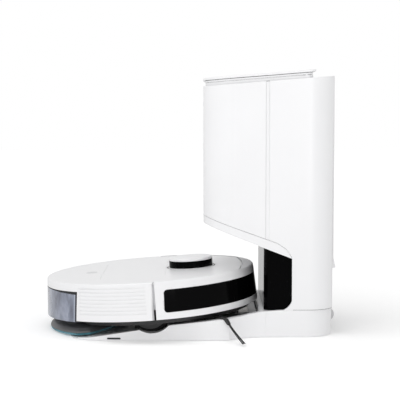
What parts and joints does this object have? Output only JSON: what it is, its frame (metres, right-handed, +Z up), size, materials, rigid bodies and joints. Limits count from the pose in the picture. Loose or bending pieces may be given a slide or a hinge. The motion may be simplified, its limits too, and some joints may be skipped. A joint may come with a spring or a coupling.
{
  "type": "robot vacuum",
  "caption": "Round robot vacuum with a raised sensor turret, glossy front window and rear water tank with mop plate, parked nose-up on the ramp of a tall self-emptying dust station.",
  "frame": {"origin": "on the floor, below the centre of the whole outline", "axes": "+Z up, +Y from the parked robot towards the station's tower, +X to the right seen from the robot's rear"},
  "size_m": [0.3998, 0.4778, 0.4269],
  "materials": {
    "white_plastic": "satin",
    "grey_plastic": "satin",
    "light_plastic": "satin",
    "black_gloss": "gloss",
    "dark_plastic": "matte",
    "rubber_dark": "matte",
    "tyre_rubber": "matte",
    "smoke_tank": "gloss",
    "teal_cloth": "matte",
    "bag_cloth": "matte",
    "card": "matte",
    "steel": "satin",
    "battery_wrap": "satin",
    "lens": "gloss",
    "bristle": "matte"
  },
  "bodies": {
    "station": {"station_base": "white_plastic", "base_floor_plate": "light_plastic", "base_feet": "rubber_dark", "ramp_treads": "light_plastic", "port_seal": "rubber_dark", "suction_duct": "grey_plastic", "front_panel": "black_gloss", "overhang_trim": "white_plastic", "tower_front_shell": "white_plastic", "tower_rear_shell": "white_plastic", "bag_chamber": "light_plastic", "lid_collar": "white_plastic", "lid_hinge_pin": "steel", "lid_seal": "rubber_dark", "dust_bag": "bag_cloth", "bag_holder": "card", "station_fan": "grey_plastic", "exhaust_grille": "light_plastic", "mains_inlet": "dark_plastic", "cord_rests": "white_plastic", "status_lens": "lens"},
    "tower_lid": {"tower_lid": "white_plastic"},
    "contact_left": {"station_contact_left": "steel"},
    "contact_right": {"station_contact_right": "steel"},
    "robot": {"chassis_tray": "dark_plastic", "body_shell": "white_plastic", "robot_contacts": "steel", "turret_base": "white_plastic", "turret_window": "black_gloss", "turret_cap": "white_plastic", "dust_bin": "grey_plastic", "bin_filter": "bag_cloth", "suction_fan": "grey_plastic", "battery": "battery_wrap", "brush_guard": "grey_plastic", "cliff_windows": "black_gloss"},
    "lidar": {"lidar_rotor": "dark_plastic"},
    "deck_lid": {"deck_lid": "white_plastic"},
    "power_button": {"power_button": "light_plastic"},
    "bumper": {"bumper_shell": "white_plastic", "bumper_window": "black_gloss", "front_sensor_window": "black_gloss"},
    "tank": {"water_tank": "smoke_tank", "tank_plug": "rubber_dark"},
    "tank_latch": {"tank_latch": "grey_plastic"},
    "mop": {"mop_plate": "grey_plastic", "mop_pad": "teal_cloth"},
    "arm_left": {"wheel_arm_left": "dark_plastic"},
    "arm_right": {"wheel_arm_right": "dark_plastic"},
    "wheel_left": {"wheel_hub_left": "grey_plastic", "tyre_left": "tyre_rubber"},
    "wheel_right": {"wheel_hub_right": "grey_plastic", "tyre_right": "tyre_rubber"},
    "caster_fork": {"caster_fork": "dark_plastic"},
    "caster_wheel": {"caster_wheel": "rubber_dark"},
    "side_brush_left": {"side_brush_left": "rubber_dark", "bristles_left": "bristle"},
    "side_brush_right": {"side_brush_right": "rubber_dark", "bristles_right": "bristle"},
    "main_brush": {"main_brush": "rubber_dark"}
  },
  "joints": [
    {"name": "tower_lid_hinge", "type": "hinge", "parent": "station", "child": "tower_lid", "pos_m": [0, 0.19387, 0.42209], "axis": [-1, 0, 0], "range_deg": [0, 68]},
    {"name": "contact_press_left", "type": "slide", "parent": "station", "child": "contact_left", "axis": [0, 0.0675, -0.9977], "range_m": [0, 0.002], "stiffness_N_per_m": 600, "springref_m": -0.001},
    {"name": "contact_press_right", "type": "slide", "parent": "station", "child": "contact_right", "axis": [0, 0.0675, -0.9977], "range_m": [0, 0.002], "stiffness_N_per_m": 600, "springref_m": -0.001},
    {"name": "robot_undock", "type": "slide", "parent": "station", "child": "robot", "axis": [0, -0.9848, 0.1736], "range_m": [0, 0.36]},
    {"name": "bumper_push", "type": "slide", "parent": "robot", "child": "bumper", "axis": [0, -0.9977, -0.0675], "range_m": [0, 0.0026], "stiffness_N_per_m": 600, "springref_m": -0.001},
    {"name": "deck_lid_hinge", "type": "hinge", "parent": "robot", "child": "deck_lid", "pos_m": [0, -0.03949, 0.09704], "axis": [-1, 0, 0], "range_deg": [0, 80]},
    {"name": "power_button_press", "type": "slide", "parent": "robot", "child": "power_button", "axis": [0, 0.0675, -0.9977], "range_m": [0, 0.0015], "stiffness_N_per_m": 400, "springref_m": -0.001},
    {"name": "lidar_spin", "type": "hinge", "parent": "robot", "child": "lidar", "pos_m": [0, 0.00204, 0.10085], "axis": [0, -0.0675, 0.9977], "continuous": true},
    {"name": "tank_slide", "type": "slide", "parent": "robot", "child": "tank", "axis": [0, -1, 0], "range_m": [0, 0.14]},
    {"name": "tank_latch_press", "type": "slide", "parent": "tank", "child": "tank_latch", "axis": [0, 0.9977, 0.0675], "range_m": [0, 0.0015], "stiffness_N_per_m": 400, "springref_m": -0.001},
    {"name": "mop_float", "type": "slide", "parent": "tank", "child": "mop", "axis": [0, -0.0675, 0.9977], "range_m": [0, 0.0024]},
    {"name": "wheel_swing_left", "type": "hinge", "parent": "robot", "child": "arm_left", "pos_m": [-0.078, -0.01151, 0.05383], "axis": [-1, 0, 0], "range_deg": [0, 13]},
    {"name": "wheel_spin_left", "type": "hinge", "parent": "arm_left", "child": "wheel_left", "pos_m": [-0.108, -0.06279, 0.04134], "axis": [1, 0, 0], "continuous": true},
    {"name": "side_brush_spin_left", "type": "hinge", "parent": "robot", "child": "side_brush_left", "pos_m": [-0.108, 0.03507, 0.03193], "axis": [0, -0.0675, 0.9977], "continuous": true, "deforming": ["bristles_left"]},
    {"name": "wheel_swing_right", "type": "hinge", "parent": "robot", "child": "arm_right", "pos_m": [0.078, -0.01151, 0.05383], "axis": [-1, 0, 0], "range_deg": [0, 13]},
    {"name": "wheel_spin_right", "type": "hinge", "parent": "arm_right", "child": "wheel_right", "pos_m": [0.108, -0.06279, 0.04134], "axis": [1, 0, 0], "continuous": true},
    {"name": "side_brush_spin_right", "type": "hinge", "parent": "robot", "child": "side_brush_right", "pos_m": [0.108, 0.03507, 0.03193], "axis": [0, -0.0675, 0.9977], "continuous": true, "deforming": ["bristles_right"]},
    {"name": "caster_swivel", "type": "hinge", "parent": "robot", "child": "caster_fork", "pos_m": [0, 0.07324, 0.04553], "axis": [0, -0.0675, 0.9977], "continuous": true},
    {"name": "caster_roll", "type": "hinge", "parent": "caster_fork", "child": "caster_wheel", "pos_m": [0, 0.06986, 0.03628], "axis": [1, 0, 0], "continuous": true},
    {"name": "main_brush_spin", "type": "hinge", "parent": "robot", "child": "main_brush", "pos_m": [0, 0.03257, 0.03927], "axis": [1, 0, 0], "continuous": true}
  ]
}
